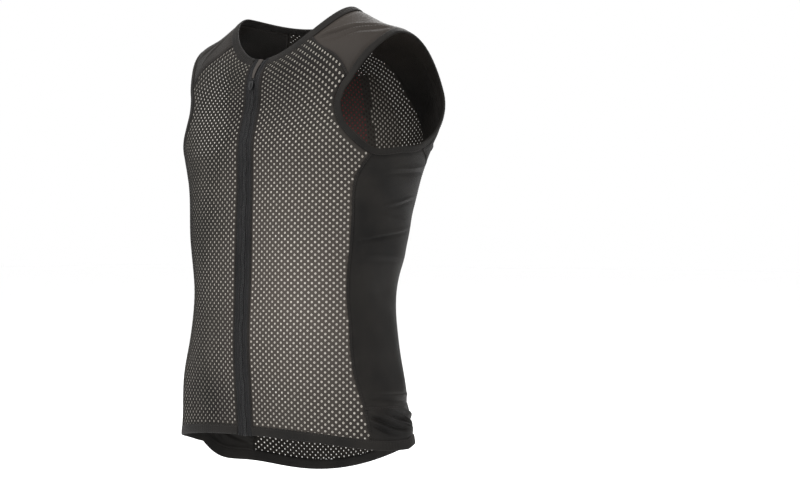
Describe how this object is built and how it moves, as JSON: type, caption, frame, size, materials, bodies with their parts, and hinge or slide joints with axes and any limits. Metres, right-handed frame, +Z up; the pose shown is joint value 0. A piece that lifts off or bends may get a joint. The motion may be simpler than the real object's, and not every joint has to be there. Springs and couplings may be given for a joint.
{
  "type": "protective vest",
  "caption": "Sleeveless zip-front mesh under-vest with smooth shoulder yokes and side panels, dropped tail and a soft back protector, in worn form.",
  "frame": {"origin": "between the shoulders on the middle plane, 24 mm under the highest points of the neck edge", "axes": "+Z up, -Y to the front (zip), +X to the wearer's left"},
  "size_m": [0.4026, 0.2887, 0.6749],
  "materials": {
    "net": "dark open-hole polyester net",
    "stretch_cloth": "smooth dark elastane jersey",
    "binding": "dark folded elastic binding",
    "zip_tape": "black woven zip tape",
    "zip_moulding": "black moulded coil",
    "pad_cover": "matt black pad cover",
    "red_mesh": "dark red fine mesh",
    "label": "plain pale grey satin"
  },
  "bodies": {
    "root": {"front_mesh_left": "net", "front_mesh_right": "net", "back_mesh": "net", "yoke_left": "stretch_cloth", "yoke_right": "stretch_cloth", "side_panel_left": "stretch_cloth", "side_panel_right": "stretch_cloth", "armhole_binding_left": "binding", "armhole_binding_right": "binding", "neck_binding": "binding", "hem_binding": "binding", "zip_tape_left": "zip_tape", "zip_tape_right": "zip_tape", "zip_chain": "zip_moulding", "zip_slider": "zip_moulding", "zip_flap": "stretch_cloth", "pad_cover_lower": "pad_cover", "pad_cover_upper": "pad_cover", "pad_window_left": "red_mesh", "pad_window_right": "red_mesh", "pad_corner_left": "red_mesh", "pad_corner_right": "red_mesh", "neck_label": "label", "neck_tab": "binding"}
  },
  "joints": []
}
